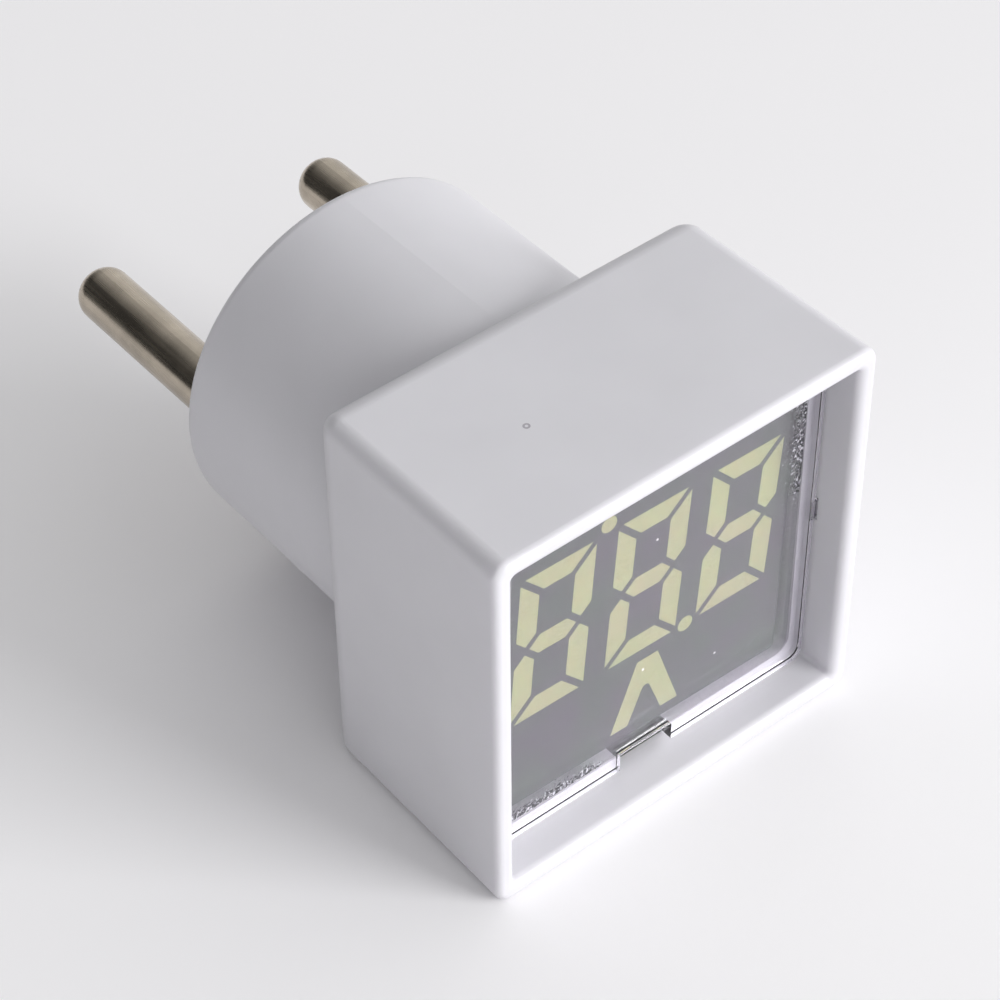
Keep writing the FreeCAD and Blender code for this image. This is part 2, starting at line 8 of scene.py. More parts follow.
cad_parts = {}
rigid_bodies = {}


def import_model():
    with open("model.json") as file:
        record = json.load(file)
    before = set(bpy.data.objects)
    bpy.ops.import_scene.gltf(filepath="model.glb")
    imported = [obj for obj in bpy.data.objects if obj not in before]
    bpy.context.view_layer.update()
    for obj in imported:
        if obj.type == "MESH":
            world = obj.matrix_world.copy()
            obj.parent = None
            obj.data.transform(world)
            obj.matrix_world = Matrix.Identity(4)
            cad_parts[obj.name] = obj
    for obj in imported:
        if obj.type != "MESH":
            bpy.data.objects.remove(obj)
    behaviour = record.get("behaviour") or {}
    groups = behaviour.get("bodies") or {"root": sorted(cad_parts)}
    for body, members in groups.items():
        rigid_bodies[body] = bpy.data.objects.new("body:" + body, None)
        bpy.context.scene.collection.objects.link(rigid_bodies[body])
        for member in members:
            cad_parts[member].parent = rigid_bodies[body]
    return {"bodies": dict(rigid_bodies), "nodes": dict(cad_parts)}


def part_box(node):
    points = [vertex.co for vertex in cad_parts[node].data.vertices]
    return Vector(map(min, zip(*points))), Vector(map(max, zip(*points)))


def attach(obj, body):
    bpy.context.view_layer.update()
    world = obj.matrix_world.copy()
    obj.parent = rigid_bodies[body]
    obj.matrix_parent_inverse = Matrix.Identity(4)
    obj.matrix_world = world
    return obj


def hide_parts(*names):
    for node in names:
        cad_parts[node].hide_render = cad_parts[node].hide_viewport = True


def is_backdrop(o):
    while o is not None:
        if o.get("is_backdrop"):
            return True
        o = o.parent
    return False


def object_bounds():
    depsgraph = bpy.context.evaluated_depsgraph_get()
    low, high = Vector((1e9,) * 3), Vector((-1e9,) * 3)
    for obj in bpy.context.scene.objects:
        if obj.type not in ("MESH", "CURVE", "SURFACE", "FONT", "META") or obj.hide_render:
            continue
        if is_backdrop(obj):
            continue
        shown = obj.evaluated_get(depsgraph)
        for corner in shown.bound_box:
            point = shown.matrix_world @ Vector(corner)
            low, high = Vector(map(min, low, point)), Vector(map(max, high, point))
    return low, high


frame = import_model()

bl_info = {
    "name": "Plug-in Voltage Tester",
    "version": (1, 0, 0),
    "blender": (4, 5, 0),
    "location": "View3D > Sidebar > Tester",
    "description": "Finishes and stages a plug-in mains voltage tester",
    "category": "Object",
}

MM = 0.001
BARE_LEAD = "#C4C1BA"  # tinned wire or leg beyond a part's coat
SLOT_POCKET = ((-0.5, -28.8, -13.0), (2.3, 2.42, 0.75))  # middle and half sizes of the box painted dark as painted shade, mm
SCUFF = (-5.9, -26.6, 15.1)  # the middle of a ring-shaped mark on the head's top, mm
WIRE_STRIP = 1.2  # bare wire outside the main board, mm
COVER_END = -7.7  # where a wire's cover ends, before the pin's cup, mm
SILVER_RIGHT = (9.9, 12.4)  # the film's silvering grows from one x or z to the other, mm
SILVER_HIGH = (-4.0, 5.0)
SILVER_BELOW = (-10.7, -12.2)
SILVER_LEFT = (-2.0, -5.5)
SPECK_SPACING = 1 / 0.3  # mm between specks of dust, about
SPECK_SIZE = 0.03  # share of that spacing
CAN_STRIPE = (1.2, 20, 1.1)  # half sizes, mm
CAN_CRIMP = 0.75  # bare lid inside the sleeve's turned edge, mm
SURGE_LIFT = 1.45  # the resistor's middle above the board, mm
SURGE_BODY = (3.15, 1.17, 2)  # half sizes, mm
# The resistor's bands: x in mm, and paint
SURGE_BANDS = ((-2.1, "#7A4420"), (-1.1, "#1B1B1D"), (-0.1, "#8E1F1C"), (1.9, "#B08A3A"))
# Half width of each moulded body along z, without its legs, mm
PACKAGES = (("microcontroller", 1.95), ("rectifier_bridge", 1.95), ("voltage_regulator", 1.25))
ZENER_HALF = 2.15  # half length of the diode's body along x, mm
DIVIDER_X = (-5.4, -1.8, 1.8, 5.4)  # the middles of the chips, mm
CHIP_CAPACITOR_X = (-1.7, 1.7, 8.9)  # the middles of the chips, mm
FLAT = 0.99  # a face turned to Y has at least this much of its normal along it
FLOOR_SIZE = 4  # m
KEY_PLACE = (0.45, -0.82, 0.36)  # m, as are the lamp's aim and size
KEY_AIM = (0, -0.02, 0)
KEY_SIZE = 0.5
# The camera: angles in degrees, places and lens in mm
VIEW = {"azimuth": -38.9515, "elevation": 44.4008, "roll": -0.5971, "distance": 204.179,
        "target": (0.6991, -15.877, -3.3138), "lens": 111.2605}
FILM_AIR = 0.02 * MM  # keeps the window's back off the film, or rays miss one of the two
DOORWAY = (-0.612, 0.765, 0.204)  # where the surroundings darken, which the metal mirrors


# ---- Shared helpers ----------------------------------------------------------
def linear(code):
    """An sRGB hex colour as the linear values that Blender works in."""
    parts = [int(code[at:at + 2], 16) / 255 for at in (1, 3, 5)]
    return tuple(c / 12.92 if c <= 0.04045 else ((c + 0.055) / 1.055) ** 2.4 for c in parts)


def add(tree, kind, settings=None, links=None):
    """Adds one shader node with its settings. A link may name a node, for its first output."""
    made = tree.nodes.new("ShaderNode" + kind)
    for name, value in (settings or {}).items():
        if isinstance(name, int) or name in made.inputs:
            made.inputs[name].default_value = value
        else:
            setattr(made, name, value)
    for name, source in (links or {}).items():
        if isinstance(source, bpy.types.Node):
            source = source.outputs[0]
        tree.links.new(source, made.inputs[name])
    return made


def start(name):
    """A new material: itself, its tree, and where each point of the object is in millimetres."""
    material = bpy.data.materials.new(name)
    material.use_nodes = True
    tree = material.node_tree
    tree.nodes.clear()
    spot = add(tree, "TexCoord")
    place = add(tree, "Mapping", {"Scale": (1 / MM,) * 3}, {"Vector": spot.outputs["Object"]})
    return material, tree, place


def finish(material, tree, settings, links):
    """Ends a material in its one surface shader."""
    shader = add(tree, "BsdfPrincipled", settings, links)
    add(tree, "OutputMaterial", links={"Surface": shader})
    return material


def mottled(tree, place, code, other, size, detail=3.0):
    """A colour that drifts between two, in patches of a size in millimetres."""
    noise = add(tree, "TexNoise", {"Scale": 1 / size, "Detail": detail}, {"Vector": place})
    share = add(tree, "MapRange", {"From Min": 0.3, "From Max": 0.7}, {"Value": noise})
    first = code if len(code) == 3 else linear(code)
    second = other if len(other) == 3 else linear(other)
    return add(tree, "Mix", {"data_type": "RGBA", 6: (*first, 1), 7: (*second, 1)},
               {0: share}).outputs[2]


def pitted(tree, place, size, depth, strength=1.0):
    """A bump of grains of a size and a depth in millimetres."""
    noise = add(tree, "TexNoise", {"Scale": 1 / size, "Detail": 4.0, "Roughness": 0.6},
                {"Vector": place})
    return add(tree, "Bump", {"Strength": strength, "Distance": depth * MM}, {"Height": noise})


def inside(tree, place, middle, half):
    """1 inside a box given by its middle and half sizes in millimetres, 0 outside."""
    away = add(tree, "VectorMath", {"operation": "SUBTRACT", 1: middle}, {0: place})
    length = add(tree, "VectorMath", {"operation": "ABSOLUTE"}, {0: away})
    beyond = add(tree, "VectorMath", {"operation": "SUBTRACT", 1: half}, {0: length})
    parts = add(tree, "SeparateXYZ", links={0: beyond})
    flat = add(tree, "Math", {"operation": "MAXIMUM"}, {0: parts.outputs[0], 1: parts.outputs[1]})
    most = add(tree, "Math", {"operation": "MAXIMUM"}, {0: flat, 1: parts.outputs[2]})
    return add(tree, "Math", {"operation": "LESS_THAN", 1: 0.0}, {0: most})


def wear(material, *names):
    """Puts a material on CAD nodes."""
    for name in names:
        for held in frame["nodes"][name].material_slots:
            held.material = material


def middle_of(name):
    """A node's middle and half sizes, in millimetres."""
    low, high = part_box(name)
    return (low + high) / 2 / MM, (high - low) / 2 / MM


# ---- What a user would change ------------------------------------------------
def colour(name, description, code):
    return FloatVectorProperty(name=name, description=description, subtype="COLOR", size=3,
                               min=0.0, max=1.0, default=linear(code))


class TesterColours(bpy.types.PropertyGroup):
    housing: colour("Housing", "Colour of the moulded housing", "#DBDADF")
    window: colour("Window", "Tint of the clear window", "#F8F6FB")
    face: colour("Face", "Printed face of the display", "#525356")
    figures: colour("Figures", "Cast windows of the display", "#D2D298")
    pins: colour("Pins", "Nickel plating of the contact pins", "#CBC0B0")
    board: colour("Boards", "Solder mask of both boards", "#1F6136")
    floor: colour("Floor", "Colour of the floor", "#FBFAFC")


class TesterSizes(bpy.types.PropertyGroup):
    window_edge: FloatProperty(
        name="Window edge", description="Rounding of the window's moulded edges",
        default=0.1 * MM, min=0.02 * MM, max=0.3 * MM, unit="LENGTH", precision=5)
    grain: FloatProperty(
        name="Grain", description="Size of the fine grain in the housing's surface",
        default=0.35 * MM, min=0.05 * MM, max=2 * MM, unit="LENGTH", precision=5)
    room_light: FloatProperty(
        name="Room light", description="Strength of the even white surroundings",
        default=0.81, min=0.0, max=3.0)
    key_light: FloatProperty(
        name="Key light", description="Power of the large lamp in front",
        default=7.4, min=0.0, max=100.0, unit="POWER")


# ---- Housing, window and film ------------------------------------------------
def satin_abs(colours, sizes):
    """White ABS, injection moulded in a fine-blasted mould: an even satin with soft, wide
    highlights, a trace of light passing through the thin rim, and almost no texture. One
    small ring-shaped scuff is on the top, and painted shade darkens the pocket behind the slot."""
    material, tree, place = start("White ABS, injection moulded, satin")
    shade = tuple(0.95 * c for c in colours.housing)
    tone = mottled(tree, place, tuple(colours.housing), shade, 9.0)
    mark = add(tree, "VectorMath", {"operation": "DISTANCE", 1: SCUFF}, {0: place})
    ring = add(tree, "Math", {"operation": "COMPARE", 1: 0.2, 2: 0.06}, {0: mark.outputs[1]})
    scuffed_and_shaded = add(tree, "Mix", {"data_type": "RGBA", 7: (*linear("#A9A5AD"), 1)},
                 {0: ring, 6: tone}).outputs[2]
    # Painted shade: the pocket behind the slot is coloured dark grey-green in place of its
    # shadow.
    pocket_shade = mottled(tree, place, "#4E5552", "#7C837F", 0.6)
    pocket = inside(tree, place, *SLOT_POCKET)
    # The scuff's colour is real wear; the pocket's dark colour is painted shade.
    scuffed_and_shaded = add(tree, "Mix", {"data_type": "RGBA"},
                 {0: pocket, 6: scuffed_and_shaded, 7: pocket_shade}).outputs[2]
    drift = add(tree, "TexNoise", {"Scale": 0.15}, {"Vector": place})
    gloss = add(tree, "MapRange", {"To Min": 0.3, "To Max": 0.42}, {"Value": drift})
    grain = pitted(tree, place, sizes.grain / MM, 0.004, 0.5)
    return finish(material, tree, {
        "IOR": 1.53, "Subsurface Weight": 0.25, "Subsurface Scale": 1.2 * MM,
        "Subsurface Radius": (1.0, 0.9, 1.0),
    }, {"Base Color": scuffed_and_shaded, "Roughness": gloss, "Normal": grain})


def clear_polycarbonate(colours):
    """Clear polycarbonate, injection moulded and polished: sharp reflections with a few
    handling smears, and edges that gather light. Lamps shine straight through it."""
    material, tree, place = start("Clear polycarbonate, injection moulded")
    smear = add(tree, "TexNoise", {"Scale": 0.4, "Detail": 4.0}, {"Vector": place})
    gloss = add(tree, "MapRange", {"From Min": 0.5, "From Max": 0.8, "To Min": 0.0,
                                   "To Max": 0.02}, {"Value": smear})
    bulk = add(tree, "BsdfPrincipled", {
        "Base Color": (*colours.window, 1), "IOR": 1.49, "Transmission Weight": 1.0,
    }, {"Roughness": gloss})
    passed = add(tree, "BsdfTransparent", {"Color": (0.9, 0.9, 0.9, 1)})
    ray = add(tree, "LightPath")
    both = add(tree, "MixShader", None, {0: ray.outputs["Is Shadow Ray"], 1: bulk, 2: passed})
    add(tree, "OutputMaterial", links={"Surface": both})
    return material


def tinted_film():
    """Grey polyester film stuck to the window: it greys what lies behind it, shows a faint
    oily drift of colour, and turns silvery and speckled where the adhesive has not wetted,
    with a few specks of dust and air under it."""
    material, tree, place = start("Grey polyester film, self-adhesive")
    axes = add(tree, "SeparateXYZ", links={0: place})
    x, z = axes.outputs[0], axes.outputs[2]
    wander = add(tree, "TexNoise", {"Scale": 0.7, "Detail": 3.0}, {"Vector": place})
    shift = add(tree, "MapRange", {"To Min": -0.9, "To Max": 0.9}, {"Value": wander})
    x_near = add(tree, "Math", {"operation": "ADD"}, {0: x, 1: shift})
    z_near = add(tree, "Math", {"operation": "ADD"}, {0: z, 1: shift})
    right = add(tree, "MapRange", {"From Min": SILVER_RIGHT[0], "From Max": SILVER_RIGHT[1]},
                                  {"Value": x_near})
    high = add(tree, "MapRange", {"From Min": SILVER_HIGH[0], "From Max": SILVER_HIGH[1]},
                                 {"Value": z})
    upper = add(tree, "Math", {"operation": "MULTIPLY"}, {0: right, 1: high})
    below = add(tree, "MapRange", {"From Min": SILVER_BELOW[0], "From Max": SILVER_BELOW[1]},
                                  {"Value": z_near})
    left = add(tree, "MapRange", {"From Min": SILVER_LEFT[0], "From Max": SILVER_LEFT[1]},
                                 {"Value": x})
    lower = add(tree, "Math", {"operation": "MULTIPLY"}, {0: below, 1: left})
    loose = add(tree, "Math", {"operation": "MAXIMUM"}, {0: upper, 1: lower})
    fine = add(tree, "TexNoise", {"Scale": 4.5, "Detail": 3.0}, {"Vector": place})
    level = add(tree, "MapRange", {"To Min": 0.82, "To Max": 0.4}, {"Value": loose})
    speckled = add(tree, "Math", {"operation": "GREATER_THAN"}, {0: fine, 1: level})
    bubbles = add(tree, "TexNoise", {"noise_dimensions": "4D", "Scale": 5.5, "Detail": 1.0,
                                     "W": 3.0}, {"Vector": place})
    bright = add(tree, "MapRange", {"From Min": 0.5, "From Max": 0.62}, {"Value": bubbles})
    silver = add(tree, "Mix", {"data_type": "RGBA", 6: (*linear("#1B1C20"), 1),
                               7: (*linear("#E8E8EC"), 1)}, {0: bright}).outputs[2]
    oily = mottled(tree, place, "#7A6F80", "#6F7F70", 2.5)
    body = add(tree, "Mix", {"data_type": "RGBA"}, {0: speckled, 6: oily, 7: silver}).outputs[2]
    cells = add(tree, "TexVoronoi", {"Scale": 1 / SPECK_SPACING}, {"Vector": place})
    speck = add(tree, "Math", {"operation": "LESS_THAN", 1: SPECK_SIZE}, {0: cells})
    dusty = add(tree, "Mix", {"data_type": "RGBA", 7: (*linear("#F4F4F2"), 1)},
                {0: speck, 6: body}).outputs[2]
    cloud = add(tree, "TexNoise", {"Scale": 6.0, "Detail": 2.0}, {"Vector": place})
    veil = add(tree, "MapRange", {"From Min": 0.3, "From Max": 0.7, "To Min": 0.1,
                                  "To Max": 0.2}, {"Value": cloud})
    patch = add(tree, "Math", {"operation": "MULTIPLY", 1: 0.85}, {0: speckled})
    some = add(tree, "Math", {"operation": "MAXIMUM"}, {0: veil, 1: patch})
    cover = add(tree, "Math", {"operation": "MAXIMUM"}, {0: some, 1: speck})
    return finish(material, tree, {"Roughness": 0.35, "IOR": 1.5, "Specular IOR Level": 0.1},
                  {"Base Color": dusty, "Alpha": cover})


# ---- Display -----------------------------------------------------------------
def printed_face(colours):
    """Grey polycarbonate case whose face is screen-printed matt grey: fine even grain on the
    face, dark side walls, and a thin painted highlight coloured pale on the chamfer between them."""
    material, tree, place = start("Grey polycarbonate, moulded, face screen-printed")
    facing = add(tree, "NewGeometry")
    parts = add(tree, "SeparateXYZ", links={0: facing.outputs["Normal"]})
    front = add(tree, "Math", {"operation": "LESS_THAN", 1: -0.9}, {0: parts.outputs[1]})
    shade = tuple(0.8 * c for c in colours.face)
    print_tone = mottled(tree, place, tuple(colours.face), shade, 0.25)
    # Painted highlight: the chamfer, found by its normal, is coloured pale as a thin line of
    # light.
    chamfer_highlight = add(tree, "Math", {"operation": "COMPARE", 1: -0.7, 2: 0.15}, {0: parts.outputs[1]})
    sides_and_highlight = add(tree, "Mix", {"data_type": "RGBA", 6: (*linear("#3F4543"), 1),
                              7: (*linear("#E6E4E6"), 1)}, {0: chamfer_highlight}).outputs[2]
    tone = add(tree, "Mix", {"data_type": "RGBA"},
               {0: front, 6: sides_and_highlight, 7: print_tone}).outputs[2]
    return finish(material, tree, {"Roughness": 0.5, "IOR": 1.5},
                  {"Base Color": tone, "Normal": pitted(tree, place, 0.2, 0.006, 0.5)})


def cast_resin(colours):
    """Epoxy with a diffuser, cast into the case: milky yellow-green and slightly clouded."""
    material, tree, place = start("Epoxy resin with diffuser, cast")
    shade = tuple(0.92 * c for c in colours.figures)
    tone = mottled(tree, place, tuple(colours.figures), shade, 0.8)
    return finish(material, tree, {
        "Roughness": 0.35, "IOR": 1.54, "Subsurface Weight": 0.3, "Subsurface Scale": 0.5 * MM,
    }, {"Base Color": tone, "Normal": pitted(tree, place, 0.3, 0.004, 0.4)})


def light_chip():
    """Gallium phosphide chips, sawn: pale amber."""
    material, tree, place = start("Gallium phosphide, sawn")
    return finish(material, tree, {"Roughness": 0.2, "IOR": 3.2},
                  {"Base Color": mottled(tree, place, "#D8B64A", "#B58E2C", 0.1)})


# ---- Metals ------------------------------------------------------------------
def nickelled_brass(colours):
    """Brass, turned and nickel plated: warm grey, with fine rings from the tool, cloudy
    tarnish and streaks along the pin from going in and out of sockets."""
    material, tree, place = start("Brass, turned and nickel plated")
    shade = tuple(0.72 * c for c in colours.pins)
    tone = mottled(tree, place, tuple(colours.pins), shade, 2.5)
    around = add(tree, "Mapping", {"Scale": (0.2, 9.0, 0.2)}, {"Vector": place})
    rings = add(tree, "TexNoise", {"Scale": 1.0, "Detail": 3.0}, {"Vector": around})
    along = add(tree, "Mapping", {"Scale": (5.0, 0.15, 5.0)}, {"Vector": place})
    streaks = add(tree, "TexNoise", {"Scale": 1.0, "Detail": 4.0}, {"Vector": along})
    gloss = add(tree, "MapRange", {"From Min": 0.3, "From Max": 0.7, "To Min": 0.18,
                                   "To Max": 0.34}, {"Value": streaks})
    turned = add(tree, "Bump", {"Strength": 0.25, "Distance": 0.01 * MM}, {"Height": rings})
    return finish(material, tree, {"Metallic": 1.0},
                  {"Base Color": tone, "Roughness": gloss, "Normal": turned})


def bright_metal(name, code, other, size, roughness):
    """Tinned or soldered metal: silvery, a little dull where it has crystallised."""
    material, tree, place = start(name)
    return finish(material, tree, {"Metallic": 1.0, "Roughness": roughness},
                  {"Base Color": mottled(tree, place, code, other, size),
                   "Normal": pitted(tree, place, size, 0.01, 0.4)})


# ---- Boards ------------------------------------------------------------------
def board_laminate(colours, name):
    """Glass-fibre laminate with solder mask, routed at its edges: glossy green over the weave
    of the cloth, paler over copper tracks, and raw straw colour on the cut edges."""
    material, tree, place = start("Glass-fibre laminate, solder masked, " + name)
    facing = add(tree, "NewGeometry")
    parts = add(tree, "SeparateXYZ", links={0: facing.outputs["Normal"]})
    across = add(tree, "Math", {"operation": "ABSOLUTE"}, {0: parts.outputs[1]})
    flat = add(tree, "Math", {"operation": "GREATER_THAN", 1: 0.9}, {0: across})
    turn = add(tree, "Mapping", {"Rotation": (math.radians(90), 0, 0)}, {"Vector": place})
    tracks = add(tree, "TexBrick", {
        "Color1": (1, 1, 1, 1), "Color2": (1, 1, 1, 1), "Mortar": (0, 0, 0, 1), "Scale": 1.0,
        "Mortar Size": 0.22, "Mortar Smooth": 0.1, "Brick Width": 5.2, "Row Height": 1.9,
    }, {"Vector": turn})
    pale = tuple(min(1.0, 1.5 * c + 0.01) for c in colours.board)
    mask = add(tree, "Mix", {"data_type": "RGBA", 6: (*colours.board, 1), 7: (*pale, 1)},
               {0: tracks.outputs["Fac"]}).outputs[2]
    edge = mottled(tree, place, "#B9A56A", "#9C8A52", 0.4)
    tone = add(tree, "Mix", {"data_type": "RGBA"}, {0: flat, 6: edge, 7: mask}).outputs[2]
    weft = add(tree, "TexWave", {"Scale": 0.5, "bands_direction": "X"}, {"Vector": turn})
    warp = add(tree, "TexWave", {"Scale": 0.5, "bands_direction": "Y"}, {"Vector": turn})
    cloth = add(tree, "Math", {"operation": "MULTIPLY"}, {0: weft, 1: warp})
    relief = add(tree, "Math", {"operation": "ADD"}, {0: cloth, 1: tracks.outputs["Fac"]})
    bump = add(tree, "Bump", {"Strength": 0.5, "Distance": 0.03 * MM}, {"Height": relief})
    return finish(material, tree, {"Roughness": 0.28, "IOR": 1.55},
                  {"Base Color": tone, "Normal": bump})


# ---- Parts on the main board --------------------------------------------------
def leaded(name, code, other, size, roughness, body, extra=None):
    """A moulded, dipped or sleeved body with tinned leads: body gives the box that its
    coat fills. Bands or stripes come as boxes with their colours."""
    material, tree, place = start(name)
    tone = mottled(tree, place, code, other, size)
    for middle, half, paint in extra or ():
        band = inside(tree, place, middle, half)
        tone = add(tree, "Mix", {"data_type": "RGBA", 7: (*linear(paint), 1)},
                   {0: band, 6: tone}).outputs[2]
    coat = inside(tree, place, *body[0])
    for box in body[1:]:
        more = inside(tree, place, *box)
        coat = add(tree, "Math", {"operation": "MAXIMUM"}, {0: coat, 1: more})
    tone = add(tree, "Mix", {"data_type": "RGBA", 6: (*linear(BARE_LEAD), 1)},
               {0: coat, 7: tone}).outputs[2]
    metal = add(tree, "Math", {"operation": "SUBTRACT", 0: 1.0}, {1: coat})
    return finish(material, tree, {"Roughness": roughness, "IOR": 1.5},
                  {"Base Color": tone, "Metallic": metal,
                   "Normal": pitted(tree, place, size / 2, 0.01, 0.6)})


# ---- Stage -------------------------------------------------------------------
def look_from(azimuth, elevation, roll, distance, target, lens):
    """A camera that looks at a target from a bearing, a height and a distance, in mm."""
    a, e, r = (math.radians(angle) for angle in (azimuth, elevation, roll))
    back = Vector((math.sin(a) * math.cos(e), -math.cos(a) * math.cos(e), math.sin(e)))
    side = Vector((math.cos(a), math.sin(a), 0))
    up = back.cross(side)
    tilted = math.cos(r) * side + math.sin(r) * up
    risen = math.cos(r) * up - math.sin(r) * side
    bpy.ops.object.camera_add()
    camera = bpy.context.object
    camera.name = "view"
    camera.data.lens = lens
    camera.data.sensor_width = 36
    camera.data.clip_start = 0.01
    turn = Matrix((tilted, risen, back)).transposed().to_4x4()
    camera.matrix_world = Matrix.Translation(Vector(target) * MM + back * distance * MM) @ turn
    bpy.context.scene.camera = camera


def lamp(name, place, aim, size, power):
    """A large soft square lamp."""
    bpy.ops.object.light_add(type="AREA", location=place)
    made = bpy.context.object
    made.name = name
    made.data.size = size
    made.data.energy = power
    made.rotation_euler = (Vector(aim) - Vector(place)).to_track_quat("-Z", "Y").to_euler()


# ---- Operators ---------------------------------------------------------------
class TESTER_OT_housing(bpy.types.Operator):
    """Finish the housing"""
    bl_idname = "tester.housing"
    bl_label = "Housing"

    def execute(self, context):
        wear(satin_abs(context.scene.tester_colours, context.scene.tester_sizes), "housing")
        return {"FINISHED"}


class TESTER_OT_window(bpy.types.Operator):
    """Make the window with rounded moulded edges, and finish its film"""
    bl_idname = "tester.window"
    bl_label = "Window"

    def execute(self, context):
        colours = context.scene.tester_colours
        wear(tinted_film(), "filter_film")
        bpy.ops.object.select_all(action="DESELECT")
        window = bpy.data.objects.new("clear_window", frame["nodes"]["window"].data.copy())
        context.scene.collection.objects.link(window)
        window.select_set(True)
        context.view_layer.objects.active = window
        bpy.ops.object.mode_set(mode="EDIT")
        bpy.ops.mesh.select_all(action="SELECT")
        bpy.ops.mesh.remove_doubles(threshold=0.001 * MM)
        bpy.ops.mesh.normals_make_consistent(inside=False)
        bpy.ops.mesh.dissolve_limited(angle_limit=math.radians(1))
        bpy.ops.mesh.select_all(action="DESELECT")
        bpy.ops.object.mode_set(mode="OBJECT")
        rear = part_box("window")[1].y
        for face in window.data.polygons:
            face.select = face.normal.y > FLAT and face.center.y > rear - 0.01 * MM
        bpy.ops.object.mode_set(mode="EDIT")
        bpy.ops.transform.translate(value=(0, -FILM_AIR, 0))
        bpy.ops.object.mode_set(mode="OBJECT")
        bpy.ops.mesh.customdata_custom_splitnormals_clear()
        bpy.ops.object.shade_smooth()
        edge = window.modifiers.new("edge", "BEVEL")
        edge.width = context.scene.tester_sizes.window_edge
        edge.segments = 3
        edge.limit_method = "ANGLE"
        edge.angle_limit = math.radians(40)
        bpy.ops.object.modifier_apply(modifier="edge")
        for face in window.data.polygons:
            face.use_smooth = abs(face.normal.y) < FLAT
        window.data.materials.clear()
        window.data.materials.append(clear_polycarbonate(colours))
        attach(window, "root")
        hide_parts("window")
        return {"FINISHED"}


class TESTER_OT_display(bpy.types.Operator):
    """Finish the display module"""
    bl_idname = "tester.display"
    bl_label = "Display"

    def execute(self, context):
        colours = context.scene.tester_colours
        wear(printed_face(colours), "display_case")
        wear(cast_resin(colours), "display_resin")
        wear(light_chip(), "led_chips")
        wear(board_laminate(colours, "display"), "display_board")
        wear(bright_metal("Brass wire, tinned", "#CFCBC2", "#B2ADA2", 0.4, 0.3), "display_pins")
        return {"FINISHED"}


class TESTER_OT_contacts(bpy.types.Operator):
    """Finish the contact pins, the wires and the solder"""
    bl_idname = "tester.contacts"
    bl_label = "Contacts"

    def execute(self, context):
        wear(nickelled_brass(context.scene.tester_colours), "pin_left", "pin_right")
        wear(bright_metal("Tin solder, reflowed", "#C6C7C9", "#989A9D", 0.3, 0.25),
             "solder_joints")
        start_y, end_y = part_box("main_board")[1].y / MM + WIRE_STRIP, COVER_END
        box = ((0, (start_y + end_y) / 2, 0), (20, (end_y - start_y) / 2, 20))
        for name, code, other in (("neutral_wire", "#23489C", "#1C3C86"),
                                  ("live_wire", "#6E3F22", "#5A321A")):
            wear(leaded("PVC-covered wire, extruded, " + name, code, other, 1.5, 0.4, [box]),
                 name)
        return {"FINISHED"}


class TESTER_OT_main_board(bpy.types.Operator):
    """Finish the main board and the parts on it"""
    bl_idname = "tester.main_board"
    bl_label = "Main board"

    def execute(self, context):
        wear(board_laminate(context.scene.tester_colours, "main"), "main_board")
        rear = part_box("main_board")[1].y / MM
        above = ((0, rear + 10.3, 0), (20, 10, 20))
        wear(leaded("Polyester film capacitor, epoxy filled case", "#D9A92C", "#CF9C22", 1.2,
                    0.32, [above]), "dropper_capacitor")
        can, half = middle_of("smoothing_capacitor")
        top = (can.x, can.y + half.y, can.z)
        stripe = ((can.x + half.x, can.y, can.z), CAN_STRIPE, "#9FA3A8")
        lid = (top, (half.x - CAN_CRIMP, 0.1, half.z - CAN_CRIMP), "#B9BCC0")
        wear(leaded("Aluminium can in a shrunk PVC sleeve", "#17191D", "#1E2126", 1.5, 0.3,
                    [above], [stripe, lid]), "smoothing_capacitor")
        wear(leaded("Zinc oxide disc, epoxy dipped", "#1D4B9B", "#173E84", 0.9, 0.3, [above]),
             "varistor")
        surge = middle_of("surge_resistor")[0]
        rod = (surge.x, rear + SURGE_LIFT, surge.z)
        rod_box = (rod, SURGE_BODY)
        bands = [((at, *rod[1:]), (0.3, 2, 2), paint) for at, paint in SURGE_BANDS]
        wear(leaded("Metal oxide resistor, flameproof lacquer", "#8FA79A", "#82998C", 0.6, 0.5,
                    [rod_box], bands), "surge_resistor")
        for name, body_width in PACKAGES:
            middle, half = middle_of(name)
            box = ((middle.x, middle.y, middle.z), (half.x + 1, half.y + 1, body_width))
            dot = ((middle.x - half.x + 0.9, middle.y - half.y, middle.z - body_width + 0.8),
                   (0.3, 0.1, 0.3), "#4A4B4E")
            wear(leaded("Epoxy moulding compound, " + name, "#1A1A1C", "#222225", 0.4, 0.55,
                        [box], [dot]), name)
        zener, half = middle_of("zener_diode")
        box = (tuple(zener), (ZENER_HALF, half.y + 1, half.z + 1))
        mark = ((zener.x - 1.7, zener.y, zener.z), (0.25, 3, 3), "#B5B7BA")
        wear(leaded("Epoxy moulding compound, diode", "#1A1A1C", "#222225", 0.4, 0.5,
                    [box], [mark]), "zener_diode")
        low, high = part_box("divider_resistors")
        z = (low.z + high.z) / 2 / MM
        chips = [((x, 0, z), (1.15, 40, 1)) for x in DIVIDER_X]
        wear(leaded("Thick film on alumina, glazed", "#1C1C1F", "#26262A", 0.3, 0.3, chips),
             "divider_resistors")
        low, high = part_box("discharge_resistors")
        chips = [((low.x / MM + 0.8, 0, high.z / MM - 1.6), (1, 40, 1.15)),
                 ((high.x / MM - 0.8, 0, low.z / MM + 1.6), (1, 40, 1.15))]
        wear(leaded("Thick film on alumina, glazed, upright", "#1C1C1F", "#26262A", 0.3, 0.3,
                    chips), "discharge_resistors")
        low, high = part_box("chip_capacitors")
        z = (low.z + high.z) / 2 / MM
        chips = [((x, 0, z), (0.65, 40, 1)) for x in CHIP_CAPACITOR_X]
        wear(leaded("Barium titanate ceramic, fired", "#A8875F", "#967650", 0.3, 0.35, chips),
             "chip_capacitors")
        return {"FINISHED"}


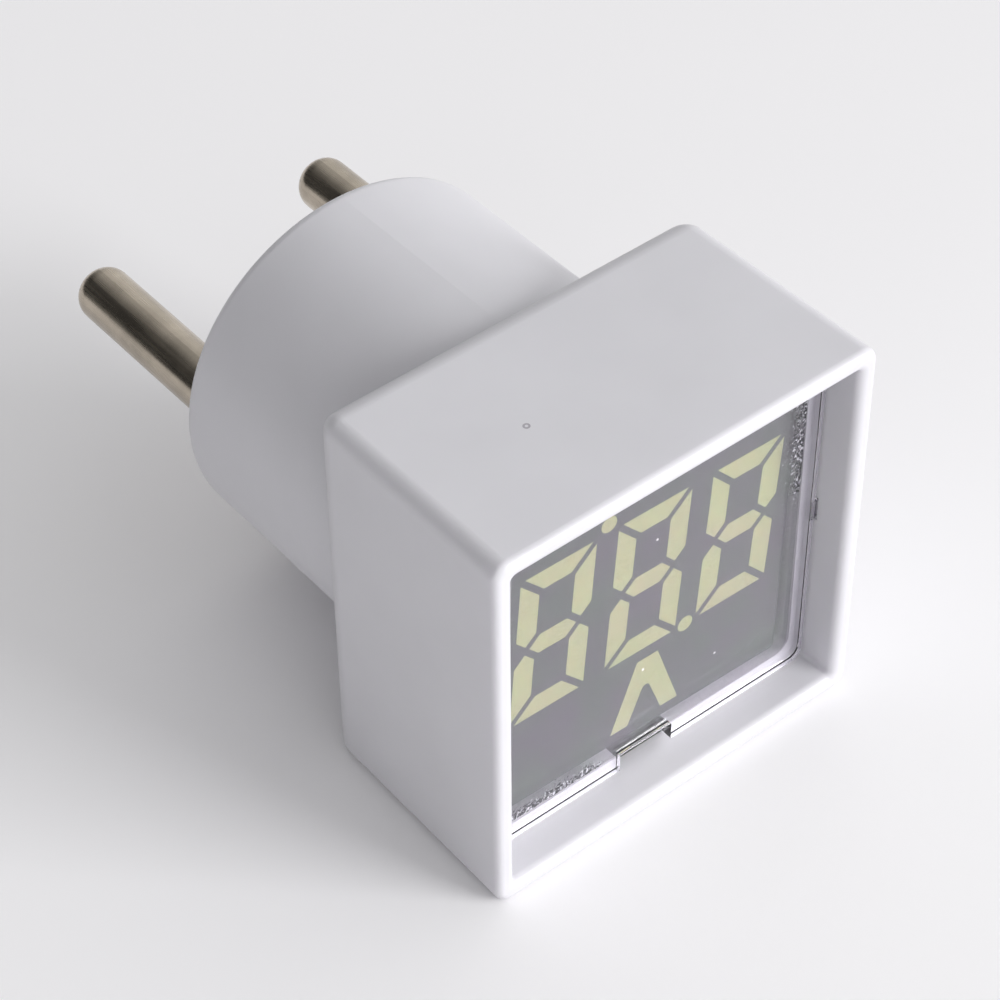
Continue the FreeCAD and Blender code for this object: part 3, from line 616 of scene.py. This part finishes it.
class TESTER_OT_stage(bpy.types.Operator):
    """Lay the floor, and set the lights and the camera"""
    bl_idname = "tester.stage"
    bl_label = "Stage"

    def execute(self, context):
        colours = context.scene.tester_colours
        sizes = context.scene.tester_sizes
        bpy.ops.object.select_all(action="DESELECT")
        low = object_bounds()[0]
        bpy.ops.mesh.primitive_plane_add(size=FLOOR_SIZE, location=(0, 0, low[2]))
        floor = context.object
        floor.name = "floor"
        material, tree, place = start("Painted board, matt")
        shade = tuple(0.985 * c for c in colours.floor)
        finish(material, tree, {"Roughness": 0.9}, {
            "Base Color": mottled(tree, place, tuple(colours.floor), shade, 60.0)})
        floor.data.materials.append(material)
        floor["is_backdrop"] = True
        lamp("key", KEY_PLACE, KEY_AIM, KEY_SIZE, sizes.key_light)
        world = bpy.data.worlds.new("studio")
        world.use_nodes = True
        tree = world.node_tree
        room = tree.nodes["Background"]
        aim = add(tree, "TexCoord")
        near = add(tree, "VectorMath", {"operation": "DOT_PRODUCT", 1: DOORWAY},
                   {0: aim.outputs["Generated"]})
        dim = add(tree, "MapRange", {"From Min": 0.2, "From Max": 0.85, "To Min": 1.0,
                                     "To Max": 0.06}, {"Value": near.outputs["Value"]})
        ray = add(tree, "LightPath")
        seen = add(tree, "Math", {"operation": "MAXIMUM"},
                   {0: dim, 1: ray.outputs["Is Camera Ray"]})  # the backdrop itself stays pale
        tree.links.new(seen.outputs[0], room.inputs["Color"])
        room.inputs["Strength"].default_value = sizes.room_light
        context.scene.world = world
        context.scene.view_settings.view_transform = "Standard"
        look_from(**VIEW)
        return {"FINISHED"}


class TESTER_PT_panel(bpy.types.Panel):
    """Sizes, colours and steps of the tester"""
    bl_idname = "TESTER_PT_panel"
    bl_label = "Voltage Tester"
    bl_space_type = "VIEW_3D"
    bl_region_type = "UI"
    bl_category = "Tester"

    def draw(self, context):
        for group in (context.scene.tester_colours, context.scene.tester_sizes):
            for name in group.__annotations__:
                self.layout.prop(group, name)
        for step in STEPS:
            self.layout.operator(step.bl_idname)


STEPS = (TESTER_OT_housing, TESTER_OT_window, TESTER_OT_display, TESTER_OT_contacts,
         TESTER_OT_main_board, TESTER_OT_stage)
CLASSES = (TesterColours, TesterSizes, *STEPS, TESTER_PT_panel)


def register():
    for each in CLASSES:
        bpy.utils.register_class(each)
    bpy.types.Scene.tester_colours = PointerProperty(type=TesterColours)
    bpy.types.Scene.tester_sizes = PointerProperty(type=TesterSizes)


def unregister():
    del bpy.types.Scene.tester_colours
    del bpy.types.Scene.tester_sizes
    for each in reversed(CLASSES):
        bpy.utils.unregister_class(each)


def main():
    known = set(frame["nodes"].values()) | set(frame["bodies"].values())
    for leftover in [o for o in bpy.data.objects if o not in known]:
        bpy.data.objects.remove(leftover)
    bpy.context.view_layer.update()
    register()
    for step in STEPS:
        family, name = step.bl_idname.split(".")
        getattr(getattr(bpy.ops, family), name)()


if __name__ == "__main__":
    main()
